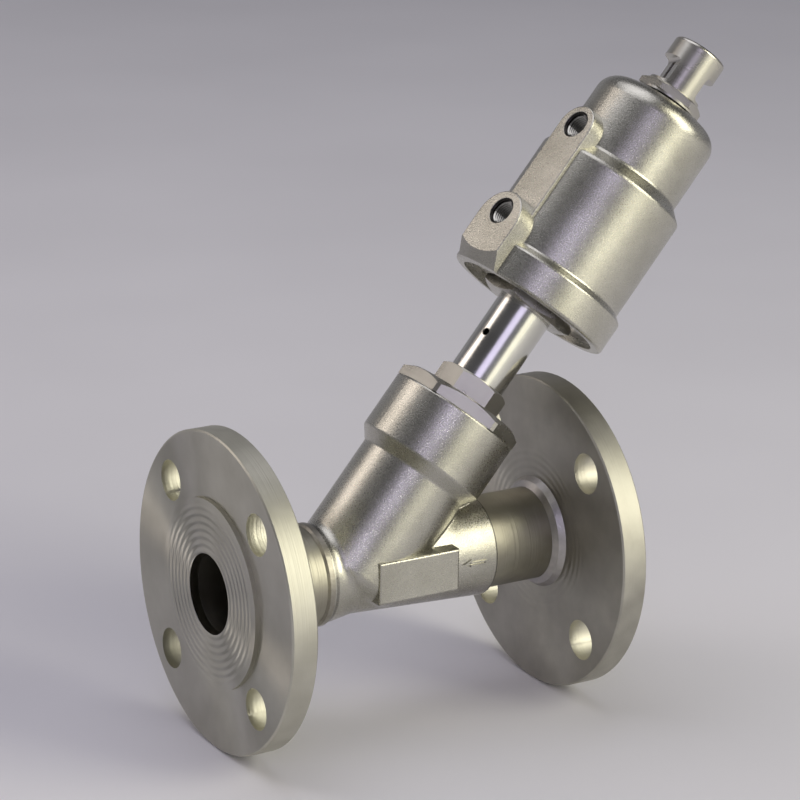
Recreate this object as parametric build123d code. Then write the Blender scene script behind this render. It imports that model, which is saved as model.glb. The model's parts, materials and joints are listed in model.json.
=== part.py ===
from build123d import *
import os
from math import cos, radians, sin, sqrt, tan

# Angle seat valve: a flanged Y body, a stem at 50 degrees to the pipe and a single-acting actuator.
# Millimetres. +X runs up the pipe from the outlet flange to the inlet flange, and +Z lies in the
# stem's plane.
# The origin is the centre of the outlet flange's raised face.

os.makedirs("parts", exist_ok=True)

# Pipe run
FACE_TO_FACE = 138.0
FLANGE_T = 9.3
FLANGE_EDGE = 0.5
FLANGE_RIM = 5.0
RAISED_FACE_D = 64.4
RAISED_FACE_H = 1.5
BOLT_CIRCLE_D = 85.0
BOLT_HOLE_D = 14.0
BOLT_COUNT = 4
FLANGE_D = BOLT_CIRCLE_D + BOLT_HOLE_D + 2 * FLANGE_RIM
PIPE_BORE_D = 27.3
SOCKET_LIP = 3.0
OUTLET_STUB_D = 33.7
INLET_STUB_D = 32.0
FLANGE_WELD = 3.4
WELD_THROAT = 0.6  # share of the leg
BODY_WELD_H = 0.7
BODY_WELD_W = 2.6
BODY_WELD_RUN_IN = 0.8

# Body casting
BODY_OUTLET_X = 38.0
BODY_INLET_X = 101.0
STEM_X = 52.6
STEM_ANGLE = 50.0
NECK_D = 34.4
WAIST_D = 30.8
WAIST_X = 49.6
RUN_D = 35.4
BODY_EDGE = 0.6
OUTLET_CHAMBER_D = 24.8
INLET_CHAMBER_D = 26.0
CHAMBER_CONE = 4.0
LEG_D = 39.4
LEG_DOME = 9.0
LEG_TOP = 38.5
NECK_BLEND = 4.0
RUN_BLEND = 1.0
LEG_BORE_D = 33.0
COLLAR_D = 46.0
COLLAR_CONE = 4.5
COLLAR_ROUND = 1.4
COLLAR_TOP = 63.5
COLLAR_EDGE = 0.8
COLLAR_BORE_D = 36.0
COLLAR_FLOOR = 43.5
PAD_X = 53.0
PAD_LENGTH = 31.0
PAD_LOW = -7.2
PAD_HEIGHT = 14.8
PAD_REACH = 20.4
PAD_ROUND = 0.8

# Seat and valve disc
SEAT_Z = 8.0
SEAT_BORE_D = 23.0
SEAT_LIP_H = 1.5
SEAT_LIP_W = 1.6
SEAT_GAP = 0.2
PARTITION_T = 4.0
STROKE = 12.0
STEM_FOOT_SHOW = 1.0
SEAL_T = 3.0
SEAL_ID = 19.0
SEAL_OD = 28.0
DISC_D = 29.6
DISC_T = 6.0
DISC_EDGE = 1.0
DISC_LIP_SET = 0.8
DISC_HUB_D = 18.0
DISC_HUB_H = 4.0
DISC_WASHER_D = 21.2
DISC_WASHER_T = 1.2
DISC_NUT_AF = 13.0
DISC_NUT_H = 4.5
STEM_D = 10.0
STEM_END_D = 8.0

# Bonnet and packing
BONNET_AF = 41.0
BONNET_HEX_H = 5.0
BONNET_CORNER_D = 46.4
BONNET_NECK_AF = 22.0
BONNET_TOP = 76.5
GASKET_T = 1.5
GASKET_ID = 24.0
PACKING_BORE_D = 15.0
PACKING_FLOOR = 49.0
PACKING_SPRING_L = 6.4
PACKING_SPRING_WIRE = 1.2
PACKING_SPRING_TURNS = 3.5
PACKING_RING_T = 1.6
PACKING_RINGS = 4
PACKING_DIP = 0.72
GLAND_TOP = 66.0

# Neck tube
TUBE_D = 20.0
TUBE_BORE_D = 13.0
TUBE_SPIGOT_D = 17.4
TUBE_HEAD_D = 27.0
TUBE_HEAD_T = 3.2
VENT_D = 2.7
VENT_Z = 91.0
VENT_TURN = 13.0
SWIVEL_NUT_AF = 30.0
SWIVEL_NUT_Z = 105.2
GUIDE_L = 9.0

# Actuator housing, set on the stem axis by heights from the pipe's centre line
HOUSING_Z = 107.0
SKIRT_D = 58.9
SKIRT_H = 11.5
SKIRT_CONE = 2.0
SKIRT_ROUND = 1.2
SKIRT_BORE_D = 51.5
BARREL_D = 54.1
BARREL_TOP = 157.6
BARREL_BORE_D = 50.0
STEP_H = 4.0
STEP_ROUND = 1.8
DOME_D = 45.4
DOME_TOP = 189.6
DOME_EDGE_R = 7.0
DOME_BORE_D = 39.4
DOME_WALL = 3.4
PORT_TURN = 4.0
PORT_BORE_D = 8.57
PORT_MOUTH_D = 10.0
PORT_MOUTH_H = 0.7
PORT_START = 9.8
UPPER_BOSS_D = 16.0
UPPER_PORT_DROP = 25.1
UPPER_PORT_SHIFT = 0.8
UPPER_PORT_REACH = 27.3
LOWER_BOSS_D = 20.4
LOWER_PORT_RISE = 18.9
LOWER_PORT_SHIFT = 2.7
LOWER_PORT_REACH = 32.6
FOOT_R = 30.5
FOOT_SLOPE = 0.6
BOSS_ROUND = 0.5
UPPER_PORT_Z = DOME_TOP - UPPER_PORT_DROP
LOWER_PORT_Z = HOUSING_Z + LOWER_PORT_RISE

# Actuator inner pieces
COVER_Z = 110.0
COVER_T = 8.0
COVER_RIM_T = 3.0
COVER_NOTCHES = 4
COVER_NOTCH_W = 6.0
COVER_NOTCH_L = 10.4
COVER_NOTCH_H = 1.6
COVER_LAND = 1.0
RETAINER_T = 1.3
RETAINER_W = 2.6
RETAINER_GAP = 12.0
RETAINER_GROOVE = 1.0
PISTON_Z = 132.0
PISTON_T = 10.0
PISTON_RECESS = 3.0
PISTON_GAP = 0.32
PISTON_LAND = 1.2
PISTON_END_GAP = 1.8
GUIDE_RING_W = 2.5
GUIDE_RING_T = 1.0
PISTON_NUT_AF = 17.0
PISTON_NUT_H = 5.5
PISTON_WASHER_D = 20.0
PISTON_WASHER_T = 1.5
SPRING_D = 29.4
SPRING_WIRE = 4.0
SPRING_TURNS = 6.5
SPRING_SEAT_GAP = 1.0
O_RING = 2.4

# Position indicator
ROD_D = 5.0
ROD_RISE = 8.4
ROD_CHAMFER = 0.6
ROD_SOCKET = 5.0
CAP_SPIGOT_D = 12.0
CAP_SPIGOT_L = 3.0
CAP_D = 19.4
CAP_BORE_D = 8.0
CAP_FOOT_H = 1.0
CAP_NECK_H = 9.9
CAP_HEAD_H = 7.4
CAP_EDGE = 1.2
CAP_ROOF = 1.4
CAP_FLAT = 11.2
CAP_FLAT_ROUND = 1.5
CAP_WINDOW_W = 4.0
CAP_TURN = 65.0
LOCK_NUT_AF = 21.0
LOCK_NUT_H = 3.0
LOCK_WASHER_D = 22.0
LOCK_WASHER_T = 0.8
CAP_RING_WIRE = 1.6

# Nuts
NUT_FACE = 0.97  # turned face as a share of the width across flats
NUT_CHAMFER = 29.0

# Clearances, on the radius, and how far a cutter runs past what it cuts
FIT = 0.1
RUN = 0.08
SNUG = 0.05
OVER = 1.0

STEM = Plane(
    origin=(STEM_X, 0, 0),
    x_dir=(-sin(radians(STEM_ANGLE)), 0, cos(radians(STEM_ANGLE))),
    z_dir=(cos(radians(STEM_ANGLE)), 0, sin(radians(STEM_ANGLE))),
)
PIPE = Plane(origin=(0, 0, 0), x_dir=(0, 1, 0), z_dir=(1, 0, 0))
INLET = Plane(origin=(FACE_TO_FACE, 0, 0), x_dir=(0, 1, 0), z_dir=(-1, 0, 0))
FAR = 400.0


def turned(*points):
    """A solid of revolution about Z from its half section of (radius, height) points."""
    outline = Polyline(*[(radius, 0, height) for radius, height in points], close=True)
    return revolve(make_face(outline), Axis.Z)


def turned_soft(*points):
    """As turned, with each corner rounded by the third value of its (radius, height, round) point."""
    section = make_face(Polyline(*[(radius, 0, height) for radius, height, _ in points], close=True))
    for radius, height, corner in points:
        if corner:
            spot = section.vertices().sort_by_distance((radius, 0, height))[0]
            section = fillet(spot, corner)
    return revolve(section, Axis.Z)


def rod(diameter, low, high):
    """A cylinder on Z between two heights."""
    return Pos(0, 0, low) * Cylinder(
        diameter / 2, high - low, align=(Align.CENTER, Align.CENTER, Align.MIN)
    )


def ring(outer, inner, low, high):
    """A flat ring on Z between two heights."""
    return turned((inner / 2, low), (outer / 2, low), (outer / 2, high), (inner / 2, high))


def o_ring(mean_d, wire, height):
    """A round-section ring lying across Z."""
    return Pos(0, 0, height) * Torus(mean_d / 2, wire / 2)


def hexagon(flats, low, high):
    """A hexagonal prism on Z, with flats square to Y."""
    sketch = RegularPolygon(flats / 2, 6, major_radius=False, rotation=30)
    return Pos(0, 0, low) * extrude(sketch, high - low)


def chamfered_hex(flats, low, high, top=True, bottom=True):
    """A hexagon with its corners turned off at 30 degrees, as on a nut."""
    corner = flats / sqrt(3)
    flat = flats / 2 * NUT_FACE
    drop = (corner - flat) * tan(radians(NUT_CHAMFER))
    points = [(0, low)]
    points += [(flat, low), (corner, low + drop)] if bottom else [(corner, low)]
    points += [(corner, high - drop), (flat, high)] if top else [(corner, high)]
    points += [(0, high)]
    return hexagon(flats, low, high) & turned(*points)


def coil(mean_d, wire, low, high, turns):
    """A compression spring on Z whose wire fits between two heights."""
    start = low + wire / 2
    rise = high - low - wire
    path = Pos(0, 0, start) * Helix(rise / turns, rise, mean_d / 2)
    section = Plane(origin=path @ 0, z_dir=path % 0) * Circle(wire / 2)
    return sweep(section, path=path)


def group(pieces):
    """Separate solids that share one node."""
    return Compound(children=[solid for piece in pieces for solid in piece.solids()])


def from_inlet(x):
    """The distance along the pipe of a place measured back from the inlet face."""
    return FACE_TO_FACE - x


# Pipe run

def flange(stub_d):
    """A flat flange on Z, raised face down at zero, with a socket for its pipe stub."""
    back = RAISED_FACE_H + FLANGE_T
    plate = turned(
        (0, 0),
        (RAISED_FACE_D / 2, 0),
        (RAISED_FACE_D / 2, RAISED_FACE_H),
        (FLANGE_D / 2 - FLANGE_EDGE, RAISED_FACE_H),
        (FLANGE_D / 2, RAISED_FACE_H + FLANGE_EDGE),
        (FLANGE_D / 2, back - FLANGE_EDGE),
        (FLANGE_D / 2 - FLANGE_EDGE, back),
        (0, back),
    )
    plate -= rod(PIPE_BORE_D, -OVER, back)
    plate -= rod(stub_d + 2 * SNUG, SOCKET_LIP, back + OVER)
    holes = PolarLocations(BOLT_CIRCLE_D / 2, BOLT_COUNT, start_angle=180 / BOLT_COUNT)
    return plate - [place * rod(BOLT_HOLE_D, -OVER, back + OVER) for place in holes]


def outlet_flange():
    return PIPE * flange(OUTLET_STUB_D)


def inlet_flange():
    return INLET * flange(INLET_STUB_D)


def outlet_pipe_stub():
    return PIPE * ring(OUTLET_STUB_D, PIPE_BORE_D, SOCKET_LIP, BODY_OUTLET_X)


def inlet_pipe_stub():
    return PIPE * ring(INLET_STUB_D, PIPE_BORE_D, BODY_INLET_X, from_inlet(SOCKET_LIP))


def fillet_weld(stub_d, face):
    """A bead in the corner between a flange's back face and its stub."""
    inner = stub_d / 2 + SNUG
    return turned(
        (inner, face),
        (inner + FLANGE_WELD, face),
        (inner + FLANGE_WELD * WELD_THROAT, face + FLANGE_WELD * WELD_THROAT),
        (inner, face + FLANGE_WELD),
    )


def butt_weld(stub_d, joint):
    """A low bead over the joint between a stub and the casting."""
    inner = stub_d / 2 + SNUG
    return turned(
        (inner, joint - BODY_WELD_W),
        (inner, joint),
        (inner + BODY_WELD_H, joint),
        (inner + BODY_WELD_H, joint - BODY_WELD_W + BODY_WELD_RUN_IN),
    )


def outlet_flange_weld():
    return PIPE * fillet_weld(OUTLET_STUB_D, RAISED_FACE_H + FLANGE_T)


def inlet_flange_weld():
    return INLET * fillet_weld(INLET_STUB_D, RAISED_FACE_H + FLANGE_T)


def outlet_body_weld():
    return PIPE * butt_weld(OUTLET_STUB_D, BODY_OUTLET_X)


# Body casting

def leg_blank():
    """The stem leg: a domed lower end, a plain barrel and a wider collar on a cone."""
    radius = LEG_D / 2
    collar = COLLAR_D / 2
    barrel = turned_soft(
        (0, 0, 0),
        (radius, 0, 0),
        (radius, LEG_TOP, COLLAR_ROUND),
        (collar, LEG_TOP + COLLAR_CONE, COLLAR_ROUND),
        (collar, COLLAR_TOP, COLLAR_EDGE),
        (0, COLLAR_TOP, 0),
    )
    arc = Plane.XZ * EllipticalCenterArc((0, 0), radius, LEG_DOME, start_angle=-90, arc_size=90)
    lid = Polyline((radius, 0, 0), (0, 0, 0), (0, 0, -LEG_DOME))
    dome = revolve(make_face(arc + lid), Axis.Z)
    return barrel + dome


def run_blank():
    """The run between the two butt ends, narrow below the seat and wider to the inlet."""
    return turned_soft(
        (0, BODY_OUTLET_X, 0),
        (NECK_D / 2, BODY_OUTLET_X, 0),
        (WAIST_D / 2, WAIST_X, 0),
        (RUN_D / 2, BODY_INLET_X, BODY_EDGE),
        (0, BODY_INLET_X, 0),
    )


def pad_blank():
    """The cast name pad, left bare, on the side of the run."""
    pad = Pos(PAD_X, 0, PAD_LOW) * Box(
        PAD_LENGTH, PAD_REACH, PAD_HEIGHT, align=(Align.MIN, Align.MAX, Align.MIN)
    )
    return fillet(pad.faces().sort_by(Axis.Y)[0].edges(), PAD_ROUND)


def passages():
    """The two flow passages with the seat's partition between them, and the leg's bore."""
    span = Box(FAR, FAR, FAR, align=(Align.CENTER, Align.CENTER, Align.MIN))
    above = STEM * Pos(0, 0, SEAT_Z) * span
    below = STEM * Pos(0, 0, SEAT_Z - PARTITION_T) * Rot(180, 0, 0) * span
    inlet = PIPE * turned(
        (0, STEM_X),
        (INLET_CHAMBER_D / 2, STEM_X),
        (INLET_CHAMBER_D / 2, BODY_INLET_X - CHAMBER_CONE),
        (PIPE_BORE_D / 2, BODY_INLET_X),
        (PIPE_BORE_D / 2, BODY_INLET_X + FIT),
        (0, BODY_INLET_X + FIT),
    )
    outlet = PIPE * turned(
        (0, BODY_OUTLET_X - FIT),
        (PIPE_BORE_D / 2, BODY_OUTLET_X - FIT),
        (PIPE_BORE_D / 2, BODY_OUTLET_X),
        (OUTLET_CHAMBER_D / 2, BODY_OUTLET_X + CHAMBER_CONE),
        (OUTLET_CHAMBER_D / 2, BODY_INLET_X),
        (0, BODY_INLET_X),
    )
    leg = STEM * turned(
        (0, SEAT_Z),
        (LEG_BORE_D / 2, SEAT_Z),
        (LEG_BORE_D / 2, COLLAR_FLOOR),
        (COLLAR_BORE_D / 2, COLLAR_FLOOR),
        (COLLAR_BORE_D / 2, COLLAR_TOP + FIT),
        (0, COLLAR_TOP + FIT),
    )
    throat = STEM * rod(SEAT_BORE_D, SEAT_Z - PARTITION_T - 2 * OVER, SEAT_Z + OVER)
    return (inlet & above) + (outlet & below) + leg + throat


def branch_edges(blank, low, high):
    """The curved edges where the leg meets the run, between two places along the pipe."""
    curved = blank.edges().filter_by(GeomType.BSPLINE)
    return [edge for edge in curved if low < edge.center().X < high]


def valve_body():
    """The Y casting with its seat, the leg blended into the run."""
    upstream = Pos(BODY_OUTLET_X, 0, 0) * Box(
        FAR, FAR, FAR, align=(Align.MIN, Align.CENTER, Align.CENTER)
    )
    blank = PIPE * run_blank() + (STEM * leg_blank() & upstream)
    blank = fillet(branch_edges(blank, BODY_OUTLET_X, WAIST_X), NECK_BLEND)
    blank = fillet(branch_edges(blank, STEM_X, BODY_INLET_X), RUN_BLEND)
    blank += pad_blank()
    lip_d = SEAT_BORE_D + 2 * SEAT_LIP_W
    lip = STEM * ring(lip_d, SEAT_BORE_D, SEAT_Z - PARTITION_T / 2, SEAT_Z + SEAT_LIP_H)
    return blank - passages() + lip


# Stem, disc and seal

SEAL_Z = SEAT_Z + SEAT_LIP_H + SEAT_GAP
DISC_TOP = SEAL_Z + DISC_T
HUB_TOP = DISC_TOP + DISC_HUB_H
WASHER_Z = SEAL_Z - DISC_WASHER_T
DISC_NUT_Z = WASHER_Z - DISC_NUT_H
STEM_TOP = PISTON_Z + PISTON_T - PISTON_RECESS
PISTON_NUT_Z = STEM_TOP + PISTON_WASHER_T
STEM_END = PISTON_NUT_Z + PISTON_NUT_H + STEM_FOOT_SHOW
ROD_Z = STEM_END - ROD_SOCKET
BARREL_BORE_TOP = PISTON_Z + PISTON_T + STROKE + PISTON_END_GAP


def stem():
    """The stem, stepped down at the foot for the disc and at the top for the piston."""
    shaft = rod(STEM_D, HUB_TOP, PISTON_Z)
    foot = rod(STEM_END_D, DISC_NUT_Z - STEM_FOOT_SHOW, HUB_TOP)
    head = rod(STEM_END_D, PISTON_Z, STEM_END)
    socket = rod(ROD_D, ROD_Z, STEM_END + OVER)
    return STEM * (shaft + foot + head - socket)


def valve_disc():
    """The disc, hollowed below for its seal, with a hub above."""
    disc = turned(
        (STEM_END_D / 2 + SNUG, SEAL_Z),
        (SEAL_ID / 2 - SNUG, SEAL_Z),
        (SEAL_ID / 2 - SNUG, SEAL_Z + SEAL_T),
        (SEAL_OD / 2 + SNUG, SEAL_Z + SEAL_T),
        (SEAL_OD / 2 + SNUG, SEAL_Z + DISC_LIP_SET),
        (DISC_D / 2, SEAL_Z + DISC_LIP_SET),
        (DISC_D / 2, DISC_TOP - DISC_EDGE),
        (DISC_D / 2 - DISC_EDGE, DISC_TOP),
        (DISC_HUB_D / 2, DISC_TOP),
        (DISC_HUB_D / 2 - DISC_EDGE, HUB_TOP),
        (STEM_END_D / 2 + SNUG, HUB_TOP),
    )
    return STEM * disc


def disc_seal():
    return STEM * ring(SEAL_OD, SEAL_ID, SEAL_Z, SEAL_Z + SEAL_T)


def disc_washer():
    return STEM * ring(DISC_WASHER_D, STEM_END_D + 2 * SNUG, WASHER_Z, SEAL_Z)


def disc_nut():
    nut = chamfered_hex(DISC_NUT_AF, DISC_NUT_Z, WASHER_Z, top=False)
    return STEM * (nut - rod(STEM_END_D + 2 * SNUG, DISC_NUT_Z - OVER, WASHER_Z + OVER))


# Bonnet and packing

BONNET_Z = COLLAR_FLOOR + GASKET_T
RINGS_Z = PACKING_FLOOR + PACKING_SPRING_L
RINGS_TOP = RINGS_Z + PACKING_RINGS * PACKING_RING_T


def bonnet():
    """The bonnet: a threaded plug, a wrench hexagon and a smaller neck hexagon."""
    hex_z = COLLAR_TOP
    hex_top = hex_z + BONNET_HEX_H
    plug = rod(COLLAR_BORE_D - 2 * FIT, BONNET_Z, hex_z)
    flats = chamfered_hex(BONNET_AF, hex_z, hex_top, bottom=False)
    flats &= rod(BONNET_CORNER_D, hex_z, hex_top)
    neck = chamfered_hex(BONNET_NECK_AF, hex_top, BONNET_TOP, bottom=False)
    blank = plug + flats + neck
    blank -= rod(STEM_D + 2 * RUN, BONNET_Z - OVER, PACKING_FLOOR)
    blank -= rod(PACKING_BORE_D, PACKING_FLOOR, GLAND_TOP)
    blank -= rod(TUBE_SPIGOT_D + 2 * SNUG, GLAND_TOP, BONNET_TOP + OVER)
    return STEM * blank


def bonnet_gasket():
    return STEM * ring(COLLAR_BORE_D - 2 * FIT, GASKET_ID, COLLAR_FLOOR, BONNET_Z)


def packing_spring():
    mean_d = (STEM_D + PACKING_BORE_D) / 2
    turns = PACKING_SPRING_TURNS
    return STEM * coil(mean_d, PACKING_SPRING_WIRE, PACKING_FLOOR, RINGS_Z, turns)


def packing_rings():
    """A stack of chevron packing rings round the stem."""
    inner = STEM_D / 2 + RUN
    outer = PACKING_BORE_D / 2 - SNUG
    middle = (inner + outer) / 2
    rings = []
    for step in range(PACKING_RINGS):
        low = RINGS_Z + step * PACKING_RING_T
        high = low + PACKING_RING_T - SNUG
        chevron = turned(
            (inner, low),
            (middle, low + PACKING_DIP),
            (outer, low),
            (outer, high),
            (middle, high + PACKING_DIP),
            (inner, high),
        )
        rings.append(chevron)
    return STEM * group(rings)


def gland_bush():
    """The bush that the neck tube presses on to the packing."""
    low = RINGS_TOP + PACKING_DIP
    return STEM * ring(PACKING_BORE_D - 2 * SNUG, STEM_D + 2 * RUN, low, GLAND_TOP)


# Neck tube

TUBE_TOP = COVER_Z + COVER_T + FIT + TUBE_HEAD_T


def neck_tube():
    """The polished tube between bonnet and actuator, headed inside the actuator, with a vent hole."""
    tube = turned(
        (TUBE_BORE_D / 2, GLAND_TOP),
        (TUBE_SPIGOT_D / 2, GLAND_TOP),
        (TUBE_SPIGOT_D / 2, BONNET_TOP),
        (TUBE_D / 2, BONNET_TOP),
        (TUBE_D / 2, TUBE_TOP - TUBE_HEAD_T),
        (TUBE_HEAD_D / 2, TUBE_TOP - TUBE_HEAD_T),
        (TUBE_HEAD_D / 2, TUBE_TOP),
        (TUBE_BORE_D / 2, TUBE_TOP),
    )
    vent = Pos(TUBE_D / 2, 0, VENT_Z) * Rot(0, 90, 0) * Cylinder(VENT_D / 2, TUBE_D / 2)
    return STEM * (tube - Rot(0, 0, VENT_TURN) * vent)


def stem_guide():
    """The guide bush in the top of the neck tube."""
    return STEM * ring(TUBE_BORE_D - 2 * SNUG, STEM_D + 2 * RUN, TUBE_TOP - GUIDE_L, TUBE_TOP)


def swivel_nut():
    """The hexagon nut on the tube that carries the actuator's bottom cover."""
    nut = chamfered_hex(SWIVEL_NUT_AF, SWIVEL_NUT_Z, COVER_Z - FIT)
    return STEM * (nut - rod(TUBE_D + 2 * SNUG, SWIVEL_NUT_Z - OVER, COVER_Z))


# Actuator housing

def port_boss(diameter, height, reach, foot):
    """A round-topped boss on +X with straight sides down to its foot, its face's edge rounded."""
    across = Plane(origin=(0, 0, 0), x_dir=(0, 0, 1), z_dir=(1, 0, 0))
    outline = Pos(height, 0) * Circle(diameter / 2)
    outline += Pos(foot, 0) * Rectangle(height - foot, diameter, align=(Align.MIN, Align.CENTER))
    boss = extrude(across * outline, reach)
    return fillet(boss.faces().sort_by(Axis.X)[-1].edges().sort_by(Axis.Z)[1:], BOSS_ROUND)


def foot_cone():
    """The cone that trims the lower boss back to the skirt."""
    rise = DOME_TOP - HOUSING_Z
    return turned(
        (0, HOUSING_Z),
        (FOOT_R, HOUSING_Z),
        (FOOT_R + FOOT_SLOPE * rise, DOME_TOP),
        (0, DOME_TOP),
    )


def port_bore(height, reach):
    """A port's tapped bore with its countersunk mouth, along +X."""
    bore = rod(PORT_BORE_D, PORT_START, reach + OVER)
    mouth = turned(
        (0, reach - PORT_MOUTH_H),
        (PORT_BORE_D / 2, reach - PORT_MOUTH_H),
        (PORT_MOUTH_D / 2, reach),
        (PORT_MOUTH_D / 2, reach + OVER),
        (0, reach + OVER),
    )
    return Pos(0, 0, height) * Rot(0, 90, 0) * (bore + mouth)


def housing_shell():
    """The turned outside: skirt, barrel, step and dome, with the soft corners of a casting."""
    dome = DOME_D / 2
    barrel = BARREL_D / 2
    skirt = SKIRT_D / 2
    skirt_top = HOUSING_Z + SKIRT_H
    return turned_soft(
        (0, HOUSING_Z, 0),
        (skirt, HOUSING_Z, SKIRT_ROUND),
        (skirt, skirt_top, SKIRT_ROUND),
        (barrel, skirt_top + SKIRT_CONE, SKIRT_ROUND),
        (barrel, BARREL_TOP, STEP_ROUND),
        (dome, BARREL_TOP + STEP_H, STEP_ROUND),
        (dome, DOME_TOP, DOME_EDGE_R),
        (0, DOME_TOP, 0),
    )


def housing_hollow():
    """The inside: cover seat, retaining groove, piston bore, spring chamber and top hole."""
    groove = COVER_Z - RETAINER_T - SNUG
    groove_r = SKIRT_BORE_D / 2 + RETAINER_GROOVE
    return turned(
        (0, HOUSING_Z - OVER),
        (SKIRT_BORE_D / 2, HOUSING_Z - OVER),
        (SKIRT_BORE_D / 2, groove),
        (groove_r, groove),
        (groove_r, COVER_Z),
        (SKIRT_BORE_D / 2, COVER_Z),
        (SKIRT_BORE_D / 2, COVER_Z + COVER_RIM_T),
        (BARREL_BORE_D / 2, COVER_Z + COVER_RIM_T),
        (BARREL_BORE_D / 2, BARREL_BORE_TOP),
        (DOME_BORE_D / 2, BARREL_BORE_TOP),
        (DOME_BORE_D / 2, DOME_TOP - DOME_EDGE_R),
        (DOME_BORE_D / 2 - DOME_WALL, DOME_TOP - DOME_WALL),
        (CAP_SPIGOT_D / 2 + SNUG, DOME_TOP - DOME_WALL),
        (CAP_SPIGOT_D / 2 + SNUG, DOME_TOP + OVER),
        (0, DOME_TOP + OVER),
    )


def actuator_housing():
    """The cast cylinder with its two ports on one face."""
    lower = LOWER_PORT_Z - LOWER_PORT_SHIFT
    upper = UPPER_PORT_Z - UPPER_PORT_SHIFT
    bosses = port_boss(LOWER_BOSS_D, lower, LOWER_PORT_REACH, HOUSING_Z) & foot_cone()
    bosses += port_boss(UPPER_BOSS_D, upper, UPPER_PORT_REACH, LOWER_PORT_Z)
    blank = housing_shell() + bosses - housing_hollow()
    blank -= port_bore(LOWER_PORT_Z, LOWER_PORT_REACH)
    blank -= port_bore(UPPER_PORT_Z, UPPER_PORT_REACH)
    return STEM * Rot(0, 0, PORT_TURN) * blank


def bottom_cover():
    """The cover that closes the piston bore and turns on the neck tube."""
    inner = TUBE_D / 2 + RUN
    rim = SKIRT_BORE_D / 2 - FIT
    body = BARREL_BORE_D / 2 - FIT
    top = COVER_Z + COVER_T
    step = COVER_Z + COVER_RIM_T
    groove = step + COVER_LAND
    cover = turned(
        (inner, COVER_Z),
        (rim, COVER_Z),
        (rim, step - FIT),
        (body, step - FIT),
        (body, groove),
        (body - O_RING, groove),
        (body - O_RING, groove + O_RING),
        (body, groove + O_RING),
        (body, top),
        (inner, top),
    )
    notch = Pos(rim, 0, COVER_Z) * Box(COVER_NOTCH_L, COVER_NOTCH_W, 2 * COVER_NOTCH_H)
    cover -= [place * notch for place in PolarLocations(0, COVER_NOTCHES, start_angle=45)]
    return STEM * Rot(0, 0, PORT_TURN) * cover


def cover_o_ring():
    height = COVER_Z + COVER_RIM_T + COVER_LAND + O_RING / 2
    return STEM * o_ring(BARREL_BORE_D - 2 * FIT - O_RING, O_RING - 2 * FIT, height)


def retaining_ring():
    """The split ring that holds the cover in the skirt."""
    outer = SKIRT_BORE_D + 2 * RETAINER_GROOVE - 2 * FIT
    hoop = ring(outer, outer - 2 * RETAINER_W, COVER_Z - RETAINER_T, COVER_Z)
    gap = Pos(0, -outer / 2, COVER_Z) * Box(RETAINER_GAP, 3 * RETAINER_W, 3 * RETAINER_T)
    return STEM * Rot(0, 0, PORT_TURN) * (hoop - gap)


# Piston

PISTON_R = BARREL_BORE_D / 2 - PISTON_GAP
SEAL_GROOVE_Z = PISTON_Z + PISTON_LAND
GUIDE_GROOVE_Z = SEAL_GROOVE_Z + O_RING + PISTON_LAND


def piston():
    """The piston, grooved for its seal and guide ring and hollowed above for the spring."""
    inner = STEM_END_D / 2 + SNUG
    top = PISTON_Z + PISTON_T
    seat = top - PISTON_RECESS
    seat_r = (SPRING_D + SPRING_WIRE) / 2 + SPRING_SEAT_GAP
    return STEM * turned(
        (inner, PISTON_Z),
        (PISTON_R, PISTON_Z),
        (PISTON_R, SEAL_GROOVE_Z),
        (PISTON_R - O_RING, SEAL_GROOVE_Z),
        (PISTON_R - O_RING, SEAL_GROOVE_Z + O_RING),
        (PISTON_R, SEAL_GROOVE_Z + O_RING),
        (PISTON_R, GUIDE_GROOVE_Z),
        (PISTON_R - GUIDE_RING_T, GUIDE_GROOVE_Z),
        (PISTON_R - GUIDE_RING_T, GUIDE_GROOVE_Z + GUIDE_RING_W),
        (PISTON_R, GUIDE_GROOVE_Z + GUIDE_RING_W),
        (PISTON_R, top),
        (seat_r, top),
        (seat_r, seat),
        (inner, seat),
    )


def piston_seal():
    """The round piston ring in the lower groove."""
    return STEM * o_ring(2 * PISTON_R - O_RING, O_RING - FIT, SEAL_GROOVE_Z + O_RING / 2)


def piston_guide_ring():
    """The plain guide ring in the upper groove."""
    outer_d = BARREL_BORE_D - 2 * RUN
    inner_d = 2 * (PISTON_R - GUIDE_RING_T + SNUG)
    return STEM * ring(outer_d, inner_d, GUIDE_GROOVE_Z + SNUG, GUIDE_GROOVE_Z + GUIDE_RING_W - SNUG)


def piston_washer():
    return STEM * ring(PISTON_WASHER_D, STEM_END_D + 2 * SNUG, STEM_TOP, PISTON_NUT_Z)


def piston_nut():
    high = PISTON_NUT_Z + PISTON_NUT_H
    nut = chamfered_hex(PISTON_NUT_AF, PISTON_NUT_Z, high, bottom=False)
    return STEM * (nut - rod(STEM_END_D + 2 * SNUG, PISTON_NUT_Z - OVER, high + OVER))


def main_spring():
    """The closing spring between the piston and the top of the dome."""
    low = PISTON_Z + PISTON_T - PISTON_RECESS
    return STEM * coil(SPRING_D, SPRING_WIRE, low + FIT, DOME_TOP - DOME_WALL - FIT, SPRING_TURNS)


# Position indicator

CAP_RING_Z = DOME_TOP + CAP_RING_WIRE / 2 + SNUG
LOCK_WASHER_Z = DOME_TOP + CAP_RING_WIRE + 2 * SNUG
LOCK_NUT_Z = LOCK_WASHER_Z + LOCK_WASHER_T
CAP_Z = LOCK_NUT_Z + LOCK_NUT_H
CAP_FLAT_Z = CAP_Z + CAP_FOOT_H
CAP_HEAD_Z = CAP_Z + CAP_NECK_H
CAP_TOP = CAP_HEAD_Z + CAP_HEAD_H


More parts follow.
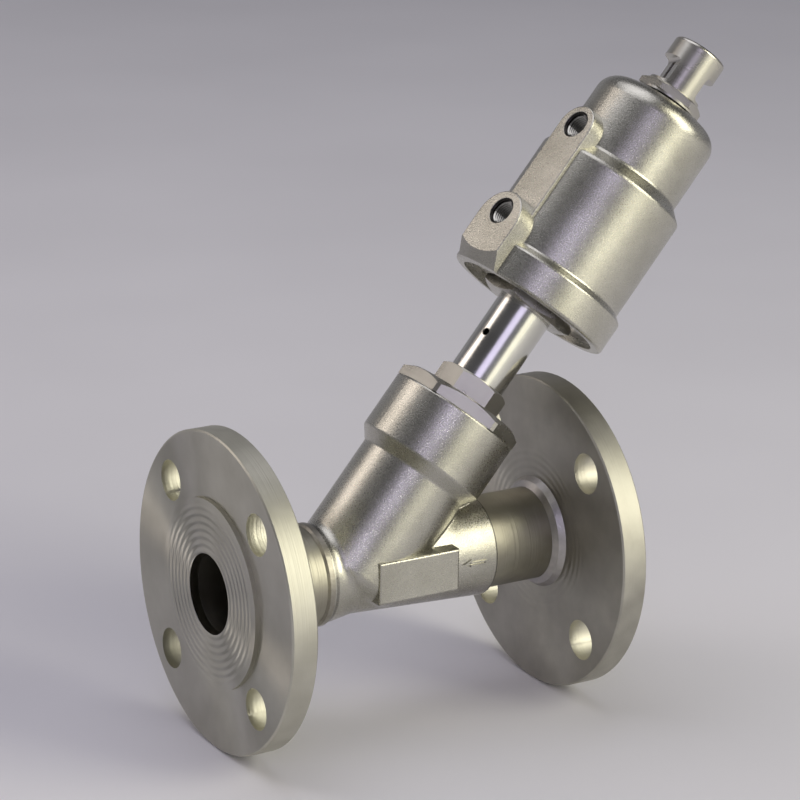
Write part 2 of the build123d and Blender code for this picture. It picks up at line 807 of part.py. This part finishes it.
def indicator_rod():
    """The rod that rises inside the cap as the valve opens."""
    shaft = rod(ROD_D - 2 * SNUG, ROD_Z, DOME_TOP + ROD_RISE)
    return STEM * chamfer(shaft.edges().group_by(Axis.Z)[-1], ROD_CHAMFER)


def indicator_cap():
    """The cap: a round bar with two flats below its head and a window onto the rod."""
    bar = turned_soft(
        (0, CAP_Z, 0),
        (CAP_D / 2, CAP_Z, 0),
        (CAP_D / 2, CAP_TOP, CAP_EDGE),
        (0, CAP_TOP, 0),
    )
    height = CAP_HEAD_Z - CAP_FLAT_Z
    side = Pos(0, CAP_FLAT / 2, CAP_FLAT_Z) * Box(
        2 * CAP_D, CAP_D, height, align=(Align.CENTER, Align.MIN, Align.MIN)
    )
    side = fillet(side.edges().filter_by(Axis.X).group_by(Axis.Y)[0], CAP_FLAT_ROUND)
    cap = bar + rod(CAP_SPIGOT_D, DOME_TOP - CAP_SPIGOT_L, CAP_Z) - [side, mirror(side, Plane.XZ)]
    cap -= rod(CAP_BORE_D, DOME_TOP - CAP_SPIGOT_L - OVER, CAP_TOP - CAP_ROOF)
    window = Pos(0, 0, CAP_FLAT_Z + CAP_FOOT_H) * Box(
        CAP_WINDOW_W, 2 * CAP_D, height - 2 * CAP_FOOT_H, align=(Align.CENTER, Align.CENTER, Align.MIN)
    )
    return STEM * Rot(0, 0, CAP_TURN) * (cap - window)


def cap_seal():
    return STEM * o_ring(CAP_SPIGOT_D + CAP_RING_WIRE + 2 * SNUG, CAP_RING_WIRE, CAP_RING_Z)


def lock_washer():
    return STEM * ring(LOCK_WASHER_D, CAP_SPIGOT_D + 2 * SNUG, LOCK_WASHER_Z, LOCK_NUT_Z)


def lock_nut():
    high = LOCK_NUT_Z + LOCK_NUT_H
    nut = chamfered_hex(LOCK_NUT_AF, LOCK_NUT_Z, high, bottom=False)
    return STEM * (nut - rod(CAP_SPIGOT_D + 2 * SNUG, LOCK_NUT_Z - OVER, high + OVER))


PIECES = [
    valve_body, outlet_flange, inlet_flange, outlet_pipe_stub, inlet_pipe_stub,
    outlet_flange_weld, inlet_flange_weld, outlet_body_weld,
    bonnet, bonnet_gasket, packing_spring, packing_rings, gland_bush, neck_tube, stem_guide,
    swivel_nut, stem, valve_disc, disc_seal, disc_washer, disc_nut, actuator_housing,
    bottom_cover, cover_o_ring, retaining_ring, piston, piston_seal, piston_guide_ring,
    piston_washer, piston_nut, main_spring, indicator_rod, indicator_cap, cap_seal,
    lock_washer, lock_nut,
]


for piece in PIECES:
    export_step(piece(), "parts/" + piece.__name__ + ".step")
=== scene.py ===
import json
import math

import bmesh
import bpy
from mathutils import Matrix, Vector


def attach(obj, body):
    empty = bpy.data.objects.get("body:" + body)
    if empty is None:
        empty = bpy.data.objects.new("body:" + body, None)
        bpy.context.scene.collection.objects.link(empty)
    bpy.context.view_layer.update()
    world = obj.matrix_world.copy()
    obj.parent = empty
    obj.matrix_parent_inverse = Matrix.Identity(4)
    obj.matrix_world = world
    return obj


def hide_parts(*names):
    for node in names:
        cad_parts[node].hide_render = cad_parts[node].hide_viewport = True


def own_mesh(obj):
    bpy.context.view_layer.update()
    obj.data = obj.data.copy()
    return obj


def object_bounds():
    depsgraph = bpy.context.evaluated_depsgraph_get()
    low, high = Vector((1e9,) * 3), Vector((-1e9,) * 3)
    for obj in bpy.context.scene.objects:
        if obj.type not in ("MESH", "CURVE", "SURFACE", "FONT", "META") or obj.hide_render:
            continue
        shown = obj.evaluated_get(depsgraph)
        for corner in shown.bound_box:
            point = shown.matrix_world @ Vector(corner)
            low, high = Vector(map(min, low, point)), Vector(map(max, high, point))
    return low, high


# Angle seat valve: cast stainless Y body between two turned flanges, with a piston actuator on its neck.
# Everything is in metres in the shared frame; MM turns a size in millimetres into metres.
MM = 0.001

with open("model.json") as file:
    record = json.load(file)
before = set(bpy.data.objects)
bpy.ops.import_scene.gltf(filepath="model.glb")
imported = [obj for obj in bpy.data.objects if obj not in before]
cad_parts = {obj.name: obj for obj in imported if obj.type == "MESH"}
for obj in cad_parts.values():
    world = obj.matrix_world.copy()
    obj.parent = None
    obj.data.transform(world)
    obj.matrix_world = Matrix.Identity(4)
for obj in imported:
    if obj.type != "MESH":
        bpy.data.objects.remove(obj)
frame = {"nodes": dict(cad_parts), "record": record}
cad_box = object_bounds()
record = frame["record"]

STEM_FOOT = Vector((52.6, 0.0, 0.0)) * MM      # where the stem axis meets the pipe axis
STEM_LEAN = math.radians(50.0)                 # from the pipe axis up to the stem axis
STEM_AXIS = Vector((math.cos(STEM_LEAN), 0.0, math.sin(STEM_LEAN)))
NEAR_SIDE = Vector((0.0, -1.0, 0.0))
PIPE_AXIS = Vector((1.0, 0.0, 0.0))
WAIST_X, WAIST_R = 49.6 * MM, 15.4 * MM        # the narrowest place of the body's run
RUN_TAPER = 2.3 / 51.4                         # how fast its radius grows towards the inlet
OUTLET_JOINT = (39.2 * MM, 0.5)                # where the run meets its stub, and how dark the painted crevice shade there is
INLET_JOINT = (101.0 * MM, 0.9)
JOINT_REACH = 19 * MM                          # radius past which the pipe's painted crevice shade stops
DISC_R = 53.6 * MM                             # a flange's turned face ends here, and its rim begins
RIM_R = 54.0 * MM
HUB_R, HUB_FADE_R = 27 * MM, 31 * MM           # the wavy turning near a flange's hub fades out between these
PORT_BORE_R, PORT_DEPTH = 4.9 * MM, 12 * MM    # how wide and how deep the painted shade in a port's bore reaches
PORTS = [mount for mount in record["mounts"] if mount["name"].endswith("_port")]


# ---------------------------------------------------------------- colours and shader nodes

def colour(code):
    """A linear RGBA colour from an sRGB hex code."""
    parts = [int(code[i:i + 2], 16) / 255 for i in (1, 3, 5)]
    return [c / 12.92 if c <= 0.04045 else ((c + 0.055) / 1.055) ** 2.4 for c in parts] + [1.0]


def add(tree, kind, settings=None, **links):
    """Adds one node. Settings name its properties or inputs, and links name the sockets that feed it.

    A link called i6 feeds the node's input number 6.
    """
    node = tree.nodes.new("ShaderNode" + kind)
    for key, value in (settings or {}).items():
        if isinstance(key, str) and hasattr(node, key):
            setattr(node, key, value)
        else:
            node.inputs[key].default_value = value
    for key, socket in links.items():
        numbered = key[0] == "i" and key[1:].isdigit()
        tree.links.new(socket, node.inputs[int(key[1:]) if numbered else key.replace("_", " ")])
    return node


def new_material(name):
    """An empty node material: its tree and the socket with Object coordinates."""
    made = bpy.data.materials.new(name)
    made.use_nodes = True
    tree = made.node_tree
    tree.nodes.clear()
    place = add(tree, "TexCoord").outputs["Object"]
    return made, tree, place


def finish_surface(tree, base, roughness, normal, settings, **links):
    """The surface shader and the output, fed by a colour, a roughness and a normal."""
    shader = add(tree, "BsdfPrincipled", settings, Base_Color=base, Roughness=roughness, Normal=normal, **links)
    add(tree, "OutputMaterial", Surface=shader.outputs["BSDF"])


def two_tones(tree, factor, dark, light, start=0.3, end=0.7):
    """A soft blend between two hex colours."""
    ramp = add(tree, "ValToRGB", Fac=factor)
    ramp.color_ramp.elements[0].position = start
    ramp.color_ramp.elements[1].position = end
    ramp.color_ramp.elements[0].color = colour(dark)
    ramp.color_ramp.elements[1].color = colour(light)
    return ramp.outputs["Color"]


def mixed(tree, factor, base, code):
    """A colour socket blended towards a hex colour."""
    return add(tree, "Mix", {"data_type": "RGBA", 7: colour(code)}, i0=factor, i6=base).outputs[2]


def lathe_space(tree, place, axis_point, axis):
    """Height along an axis, radius from it and the direction round it, for anything made on a lathe."""
    here = add(tree, "VectorMath", {"operation": "SUBTRACT", 1: axis_point}, i0=place)
    along = add(tree, "VectorMath", {"operation": "DOT_PRODUCT", 1: axis}, i0=here.outputs["Vector"])
    across = add(tree, "VectorMath", {"operation": "CROSS_PRODUCT", 1: axis}, i0=here.outputs["Vector"])
    radius = add(tree, "VectorMath", {"operation": "LENGTH"}, i0=across.outputs["Vector"])
    turned = add(tree, "VectorTransform",
                 {"vector_type": "VECTOR", "convert_from": "OBJECT", "convert_to": "WORLD"},
                 Vector=across.outputs["Vector"])
    tangent = add(tree, "VectorMath", {"operation": "NORMALIZE"}, i0=turned.outputs["Vector"])
    return along.outputs["Value"], radius.outputs["Value"], tangent.outputs["Vector"]


def heat_tint(tree, place, base, joints):
    """Paints shade into a metal in thin violet-brown rings: the shadow in the crevice where a joint was welded
    at a place along the pipe.
    """
    along, radius, _ = lathe_space(tree, place, Vector(), PIPE_AXIS)
    on_pipe = add(tree, "Math", {"operation": "LESS_THAN", 1: JOINT_REACH}, i0=radius)
    for station, depth in joints:
        beside = add(tree, "Math", {"operation": "SUBTRACT", 1: station}, i0=along)
        away = add(tree, "Math", {"operation": "ABSOLUTE"}, i0=beside.outputs["Value"])
        near = add(tree, "MapRange", {"From Min": 0.9 * MM, "From Max": 0.35 * MM, "To Max": depth},
                   Value=away.outputs["Value"])
        there = add(tree, "Math", {"operation": "MULTIPLY"},
                    i0=near.outputs["Result"], i1=on_pipe.outputs["Value"])
        # A violet-brown ring of painted shade at each joint's crevice.
        base = mixed(tree, there.outputs["Value"], base, "#35312f")
    return base


def investment_cast_316():
    """Investment-cast 316L, bead blasted and electropolished: a silky grey skin that sparkles with pits."""
    # The real pits are finer. They are drawn at 0.42 mm, as coarse as they need to be to show.
    made, tree, place = new_material("investment_cast_316")
    clouds = add(tree, "TexNoise", {"Scale": 1 / (16 * MM), "Detail": 3.0}, Vector=place)
    pits = add(tree, "TexNoise", {"Scale": 1 / (0.42 * MM), "Detail": 4.0, "Roughness": 0.65}, Vector=place)
    waves = add(tree, "TexNoise", {"Scale": 1 / (4 * MM), "Detail": 2.0}, Vector=place)
    base = two_tones(tree, clouds.outputs["Fac"], "#aeaca1", "#c2c0b6")
    # Painted shade in the crevices at the outlet and inlet joints.
    base = heat_tint(tree, place, base, (OUTLET_JOINT, INLET_JOINT))
    rough = add(tree, "MapRange", {"From Min": 0.3, "From Max": 0.7, "To Min": 0.22, "To Max": 0.35},
                Value=pits.outputs["Fac"])
    # Linished port lands: flat, pinker and crossed by belt lines. Tapped bores: painted shade for their depth,
    # and the dark of oil in them.
    facing = add(tree, "TexCoord").outputs["Normal"]
    belt = add(tree, "VectorMath", {"operation": "DOT_PRODUCT", 1: STEM_AXIS - NEAR_SIDE * 0.33}, i0=place)
    lines = add(tree, "TexNoise", {"noise_dimensions": "1D", "Scale": 1 / (0.7 * MM), "Detail": 2.0},
                W=belt.outputs["Value"])
    relief = pits.outputs["Fac"]
    for port in PORTS:
        out = Vector(port["axis"])
        along, radius, _ = lathe_space(tree, place, Vector(port["pos_m"]), out)
        square = add(tree, "VectorMath", {"operation": "DOT_PRODUCT", 1: out}, i0=facing)
        flat = add(tree, "Math", {"operation": "GREATER_THAN", 1: 0.998}, i0=square.outputs["Value"])
        level = add(tree, "Math", {"operation": "COMPARE", 1: 0.0, 2: 0.2 * MM}, i0=along)
        land = add(tree, "Math", {"operation": "MULTIPLY"},
                   i0=flat.outputs["Value"], i1=level.outputs["Value"])
        base = mixed(tree, land.outputs["Value"], base, "#c3b8b2")
        relief = add(tree, "Mix", {"data_type": "FLOAT"}, i0=land.outputs["Value"],
                     i2=relief, i3=lines.outputs["Fac"]).outputs[0]
        narrow = add(tree, "Math", {"operation": "LESS_THAN", 1: PORT_BORE_R}, i0=radius)
        deep = add(tree, "Math", {"operation": "COMPARE", 1: 0.0, 2: PORT_DEPTH}, i0=along)
        bore = add(tree, "Math", {"operation": "MULTIPLY"},
                   i0=narrow.outputs["Value"], i1=deep.outputs["Value"])
        # Painted shade inside each tapped bore, down to the port's depth.
        base = mixed(tree, bore.outputs["Value"], base, "#383633")
    fine = add(tree, "Bump", {"Strength": 1.0, "Distance": 0.07 * MM}, Height=relief)
    broad = add(tree, "Bump", {"Strength": 0.3, "Distance": 0.12 * MM},
                Height=waves.outputs["Fac"], Normal=fine.outputs["Normal"])
    finish_surface(tree, base, rough.outputs["Result"], broad.outputs["Normal"], {"Metallic": 1.0})
    return made


def turned_stainless(name, axis_point, axis, light, dark, smooth, coarse, grain,
                     rings=0.0, tooling=0.6, tints=()):
    """Lathe-turned stainless: tool lines that stretch each highlight across them into spokes and bars.

    Roughness goes from smooth to coarse, grain is how far highlights stretch, rings is the height of the waves
    near a flange's hub and tooling the depth of the tool marks. Real tool lines are finer. These are drawn at
    0.45 and 0.9 mm, as coarse as they need to be to show.
    """
    made, tree, place = new_material(name)
    along, radius, tangent = lathe_space(tree, place, axis_point, axis)
    feed = add(tree, "Math", {"operation": "ADD"}, i0=along, i1=radius)
    lines = add(tree, "TexNoise", {"noise_dimensions": "1D", "Scale": 1 / (0.45 * MM), "Detail": 2.0},
                W=feed.outputs["Value"])
    smudge = add(tree, "TexNoise", {"Scale": 1 / (17 * MM), "Detail": 4.0}, Vector=place)
    base = two_tones(tree, smudge.outputs["Fac"], dark, light)
    # Painted shade in the crevices of any joints given.
    base = heat_tint(tree, place, base, tints)
    even = add(tree, "MapRange", {"From Min": 0.3, "From Max": 0.7, "To Min": smooth, "To Max": coarse},
               Value=smudge.outputs["Fac"])
    # A flange's rim is rougher than its face, and its highlights don't stretch.
    edge = add(tree, "MapRange", {"From Min": DISC_R, "From Max": RIM_R, "To Max": 0.1}, Value=radius)
    drawn = add(tree, "MapRange", {"From Min": DISC_R, "From Max": RIM_R, "To Min": grain, "To Max": 0.0},
                Value=radius)
    rough = add(tree, "Math", {"operation": "ADD"}, i0=even.outputs["Result"], i1=edge.outputs["Result"])
    marks = add(tree, "TexNoise", {"noise_dimensions": "1D", "Scale": 1 / (0.9 * MM), "Detail": 2.0}, W=along)
    grooves = add(tree, "Bump", {"Strength": tooling, "Distance": 0.1 * MM}, Height=marks.outputs["Fac"])
    fine = add(tree, "Bump", {"Strength": 0.2, "Distance": 0.03 * MM},
               Height=lines.outputs["Fac"], Normal=grooves.outputs["Normal"])
    phase = add(tree, "Math", {"operation": "MULTIPLY", 1: math.tau / (2.5 * MM)}, i0=radius)
    ripple = add(tree, "Math", {"operation": "SINE"}, i0=phase.outputs["Value"])
    inside = add(tree, "MapRange", {"From Min": HUB_FADE_R, "From Max": HUB_R}, Value=radius)
    height = add(tree, "Math", {"operation": "MULTIPLY"},
                 i0=ripple.outputs["Value"], i1=inside.outputs["Result"])
    broad = add(tree, "Bump", {"Strength": rings, "Distance": 0.12 * MM},
                Height=height.outputs["Value"], Normal=fine.outputs["Normal"])
    finish_surface(tree, base, rough.outputs["Value"], broad.outputs["Normal"],
                   {"Metallic": 1.0}, Anisotropic=drawn.outputs["Result"], Tangent=tangent)
    return made


def ground_tube():
    """Ground and polished stainless tube: long bright and dark streaks, with very fine lines round it."""
    # Real grinding lines are finer. They are drawn at 0.3 mm, as coarse as they need to be to show.
    made, tree, place = new_material("ground_tube_316")
    along, _, tangent = lathe_space(tree, place, STEM_FOOT, STEM_AXIS)
    lines = add(tree, "TexNoise", {"noise_dimensions": "1D", "Scale": 1 / (0.3 * MM), "Detail": 2.0}, W=along)
    smudge = add(tree, "TexNoise", {"Scale": 1 / (9 * MM), "Detail": 3.0}, Vector=place)
    base = two_tones(tree, smudge.outputs["Fac"], "#c3c2bb", "#cfcec8")
    rough = add(tree, "MapRange", {"To Min": 0.12, "To Max": 0.2}, Value=smudge.outputs["Fac"])
    fine = add(tree, "Bump", {"Strength": 0.1, "Distance": 0.02 * MM}, Height=lines.outputs["Fac"])
    finish_surface(tree, base, rough.outputs["Result"], fine.outputs["Normal"],
                   {"Metallic": 1.0, "Anisotropic": 0.6}, Tangent=tangent)
    return made


def weld_bead(name, dark, light):
    """TIG-welded stainless, pickled and blasted: satin grey with a violet cast and a fine even grain."""
    made, tree, place = new_material(name)
    grain = add(tree, "TexNoise", {"Scale": 1 / (0.5 * MM), "Detail": 3.0}, Vector=place)
    lumps = add(tree, "TexNoise", {"Scale": 1 / (2.2 * MM), "Detail": 2.0}, Vector=place)
    base = two_tones(tree, lumps.outputs["Fac"], dark, light)
    rough = add(tree, "MapRange", {"To Min": 0.32, "To Max": 0.42}, Value=grain.outputs["Fac"])
    fine = add(tree, "Bump", {"Strength": 1.0, "Distance": 0.08 * MM}, Height=grain.outputs["Fac"])
    broad = add(tree, "Bump", {"Strength": 0.3, "Distance": 0.15 * MM},
                Height=lumps.outputs["Fac"], Normal=fine.outputs["Normal"])
    finish_surface(tree, base, rough.outputs["Result"], broad.outputs["Normal"], {"Metallic": 1.0})
    return made


def nitrile_rubber():
    """Moulded black nitrile: dull, with a dusty bloom."""
    made, tree, place = new_material("nitrile_rubber")
    bloom = add(tree, "TexNoise", {"Scale": 1 / (2 * MM), "Detail": 3.0}, Vector=place)
    base = two_tones(tree, bloom.outputs["Fac"], "#141414", "#262524")
    rough = add(tree, "MapRange", {"To Min": 0.45, "To Max": 0.65}, Value=bloom.outputs["Fac"])
    fine = add(tree, "Bump", {"Strength": 0.2, "Distance": 0.03 * MM}, Height=bloom.outputs["Fac"])
    finish_surface(tree, base, rough.outputs["Result"], fine.outputs["Normal"], {"Metallic": 0.0})
    return made


def virgin_ptfe():
    """Skived white PTFE: waxy, with faint tool lines."""
    made, tree, place = new_material("virgin_ptfe")
    wax = add(tree, "TexNoise", {"Scale": 1 / (4 * MM), "Detail": 2.0}, Vector=place)
    base = two_tones(tree, wax.outputs["Fac"], "#e4e2da", "#efeee8")
    rough = add(tree, "MapRange", {"To Min": 0.35, "To Max": 0.5}, Value=wax.outputs["Fac"])
    fine = add(tree, "Bump", {"Strength": 0.1, "Distance": 0.03 * MM}, Height=wax.outputs["Fac"])
    finish_surface(tree, base, rough.outputs["Result"], fine.outputs["Normal"], {"Metallic": 0.0})
    return made


cast = investment_cast_316()
# The two flanges are one metal. The outlet's lighter tone and the inlet's darker tone are painted light and
# shade.
outlet_turned = turned_stainless("turned_flange_outlet_316", Vector(), PIPE_AXIS, "#c9c7bb", "#b6b4a7",
                                 smooth=0.36, coarse=0.42, grain=1.0, rings=1.0)
inlet_turned = turned_stainless("turned_flange_inlet_316", Vector(), PIPE_AXIS, "#c2c0b5", "#a5a298",
                                smooth=0.36, coarse=0.44, grain=0.9, rings=0.4)
# The stubs' darker tone is partly painted shade, for the body's shadow over them.
pipe_turned = turned_stainless("machined_pipe_316", Vector(), PIPE_AXIS, "#aaa79a", "#8f8b7e",
                               # The pipe stubs carry painted crevice shade at both joints.
                               smooth=0.34, coarse=0.44, grain=0.4, tints=(OUTLET_JOINT, INLET_JOINT))
stem_turned = turned_stainless("turned_bar_316", STEM_FOOT, STEM_AXIS, "#c4c2b9", "#b3b0a6",
                               smooth=0.22, coarse=0.32, grain=0.5, tooling=0.15)
tapped = turned_stainless("tapped_thread_316", STEM_FOOT, STEM_AXIS, "#c0beb6", "#a9a79f",
                          smooth=0.16, coarse=0.22, grain=0.0)
ground = ground_tube()
bead = weld_bead("pickled_bead_316", "#aca9a6", "#bab7b3")
tinted_bead = weld_bead("tinted_bead_316", "#98948a", "#a9a59a")
rubber = nitrile_rubber()
ptfe = virgin_ptfe()

FINISHES = {
    cast: ["valve_body", "actuator_housing"],
    outlet_turned: ["outlet_flange"],
    inlet_turned: ["inlet_flange"],
    pipe_turned: ["outlet_pipe_stub", "inlet_pipe_stub"],
    bead: ["outlet_flange_weld", "inlet_flange_weld"],
    tinted_bead: ["outlet_body_weld"],
    stem_turned: ["bonnet", "swivel_nut", "bottom_cover", "valve_disc", "disc_washer", "disc_nut",
                  "piston", "piston_washer", "piston_nut", "gland_bush", "lock_nut", "lock_washer",
                  "indicator_cap", "retaining_ring", "main_spring", "packing_spring", "indicator_rod"],
    ground: ["neck_tube", "stem"],
    rubber: ["cover_o_ring", "piston_seal", "cap_seal"],
    ptfe: ["bonnet_gasket", "packing_rings", "stem_guide", "disc_seal", "piston_guide_ring"],
}
for finish, names in FINISHES.items():
    for name in names:
        mesh = frame["nodes"][name].data
        mesh.materials.clear()
        mesh.materials.append(finish)


# ---------------------------------------------------------------- new pieces

def keep(name, bm, material, body):
    """Makes a bmesh into a piece that rides on a body."""
    bmesh.ops.recalc_face_normals(bm, faces=bm.faces)
    mesh = bpy.data.meshes.new(name)
    bm.to_mesh(mesh)
    bm.free()
    piece = bpy.data.objects.new(name, mesh)
    bpy.context.scene.collection.objects.link(piece)
    mesh.materials.append(material)
    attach(piece, body)
    return piece


def frame_at(point, z_axis, x_hint):
    """A matrix with its Z on an axis and its X as near as can be to a hint."""
    z = z_axis.normalized()
    x = (x_hint - z * x_hint.dot(z)).normalized()
    made = Matrix((x, z.cross(x), z)).transposed().to_4x4()
    made.translation = point
    return made


def port_thread(mount):
    """A G1/8 pipe thread standing in a port's bore: 28 turns to the inch."""
    pitch, deep = 0.907 * MM, 0.5 * MM
    turns, steps = 7, 32
    chamfer = 0.4 * MM                         # the thread starts this far inside the mouth
    root = mount["dims"]["r_mm"] * MM - 0.02 * MM
    foot = pitch * 0.38
    bm = bmesh.new()
    ridge = [bm.verts.new(place) for place in ((root, 0, -foot), (root - deep, 0, 0), (root, 0, foot))]
    edges = [bm.edges.new(ridge[i:i + 2]) for i in range(2)]
    bmesh.ops.spin(bm, geom=ridge + edges, cent=(0, 0, 0), axis=(0, 0, 1), dvec=(0, 0, pitch / steps),
                   angle=math.tau * turns, steps=turns * steps)
    out = Vector(mount["axis"])
    start = Vector(mount["pos_m"]) - out * (pitch * turns + chamfer)
    bmesh.ops.transform(bm, matrix=frame_at(start, out, STEM_AXIS), verts=bm.verts)
    return keep(mount["name"] + "_thread", bm, tapped, "actuator")


for port in PORTS:
    port_thread(port)


def flow_arrow():
    """The raised outline arrow cast on the body's run, pointing to the outlet."""
    tip, neck, tail, half_head, half_shaft = 87.2, 90.6, 96.4, 1.7, 0.7
    line, proud, sunk = 0.48 * MM, 0.55 * MM, 0.3 * MM
    outline = [(tip, 0), (neck, half_head), (neck, half_shaft), (tail, half_shaft),
               (tail, -half_shaft), (neck, -half_shaft), (neck, -half_head)]
    bm = bmesh.new()
    face = bm.faces.new([bm.verts.new((x * MM, 0, z * MM)) for x, z in outline])
    face.normal_update()
    bmesh.ops.inset_individual(bm, faces=[face], thickness=line, use_even_offset=True)
    bmesh.ops.delete(bm, geom=[face], context="FACES_ONLY")
    bmesh.ops.subdivide_edges(bm, edges=bm.edges, cuts=3, use_grid_fill=True)
    grown = bmesh.ops.extrude_face_region(bm, geom=bm.faces[:])
    top = {v for v in grown["geom"] if isinstance(v, bmesh.types.BMVert)}
    for vert in bm.verts:
        skin = WAIST_R + (vert.co.x - WAIST_X) * RUN_TAPER
        radius = skin + (proud if vert in top else -sunk)
        angle = vert.co.z / skin
        vert.co = (vert.co.x, -radius * math.cos(angle), radius * math.sin(angle))
    return keep("flow_arrow", bm, cast, "valve")


flow_arrow()


def closing_spring():
    """The spring over the piston. It stands for its CAD node and rides on the moving stem, with a mesh of its
    own.
    """
    bm = bmesh.new()
    bm.from_mesh(frame["nodes"]["main_spring"].data)
    bmesh.ops.remove_doubles(bm, verts=bm.verts, dist=0.001 * MM)
    for face in bm.faces:
        face.smooth = True
    spring = keep("closing_spring", bm, stem_turned, "moving_stem")
    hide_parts("main_spring")
    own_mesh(spring)


closing_spring()


# ---------------------------------------------------------------- floor, light and camera

def studio_floor():
    """A pale grey paper sweep, wide and plain."""
    made, tree, place = new_material("pale_paper_sweep")
    fleck = add(tree, "TexNoise", {"Scale": 6.0, "Detail": 2.0}, Vector=place)
    base = two_tones(tree, fleck.outputs["Fac"], "#dcdbe0", "#e1e0e5")
    shader = add(tree, "BsdfPrincipled", {"Roughness": 0.7}, Base_Color=base)
    add(tree, "OutputMaterial", Surface=shader.outputs["BSDF"])
    bm = bmesh.new()
    bmesh.ops.create_grid(bm, x_segments=1, y_segments=1, size=6.0)
    bmesh.ops.translate(bm, verts=bm.verts, vec=(0, 0, cad_box[0].z - 0.2 * MM))
    mesh = bpy.data.meshes.new("studio_floor")
    bm.to_mesh(mesh)
    bm.free()
    mesh.materials.append(made)
    floor = bpy.data.objects.new("studio_floor", mesh)
    bpy.context.scene.collection.objects.link(floor)


def softbox(name, place, target, size, power, tint):
    """A rectangular soft light aimed at a point."""
    data = bpy.data.lights.new(name, "AREA")
    data.shape = "RECTANGLE"
    data.size, data.size_y = size
    data.energy = power
    data.color = colour(tint)[:3]
    lamp = bpy.data.objects.new(name, data)
    bpy.context.scene.collection.objects.link(lamp)
    lamp.location = place
    lamp.rotation_euler = (Vector(target) - Vector(place)).to_track_quat("-Z", "Y").to_euler()


def softly_lit_room():
    """Pale walls round a dark ceiling, which the metal mirrors."""
    world = bpy.data.worlds.new("studio")
    bpy.context.scene.world = world
    world.use_nodes = True
    room = world.node_tree
    rise = add(room, "SeparateXYZ", Vector=add(room, "TexCoord").outputs["Generated"]).outputs["Z"]
    wall = add(room, "MapRange", {"From Min": 0.05, "From Max": 0.6, "To Min": 0.62, "To Max": 0.16},
               Value=rise)
    room.nodes["Background"].inputs["Color"].default_value = colour("#c4c3ca")
    room.links.new(wall.outputs["Result"], room.nodes["Background"].inputs["Strength"])


def product_camera():
    """A long lens, a little above the outlet flange and in front of it."""
    data = bpy.data.cameras.new("product_camera")
    data.lens = 152.27
    data.sensor_width = 36.0
    camera = bpy.data.objects.new("product_camera", data)
    bpy.context.scene.collection.objects.link(camera)
    look = Vector((0.48760, 0.81694, -0.30799)).normalized()
    right = Vector((0.86099, -0.50842, 0.01453))
    right = (right - look * right.dot(look)).normalized()
    stand = Matrix((right, right.cross(look), -look)).transposed().to_4x4()
    stand.translation = Vector((-0.47790, -0.92110, 0.40323))
    camera.matrix_world = stand
    bpy.context.scene.camera = camera


studio_floor()
middle = (0.09, 0.0, 0.07)
softbox("key_right", (0.78, -0.92, 0.66), middle, (0.6, 0.9), 9, "#fffbe6")
softbox("low_panel", (0.42, -1.08, 0.15), middle, (0.6, 0.4), 1.2, "#fdf9e2")
softbox("lilac_front", (-0.62, -1.3, 0.8), middle, (0.6, 0.8), 2.6, "#dcd4f8")
softbox("back_left", (-0.81, 0.87, 0.88), middle, (0.6, 0.6), 3.0, "#fbefe8")
softbox("top_soft", (-0.1, 0.3, 1.9), middle, (1.8, 1.8), 16, "#f0eff8")
softbox("camera_flash", (-0.5, -1.06, 0.46), middle, (0.05, 0.05), 0.18, "#ffffff")
softly_lit_room()
product_camera()
bpy.context.scene.view_settings.view_transform = "Standard"
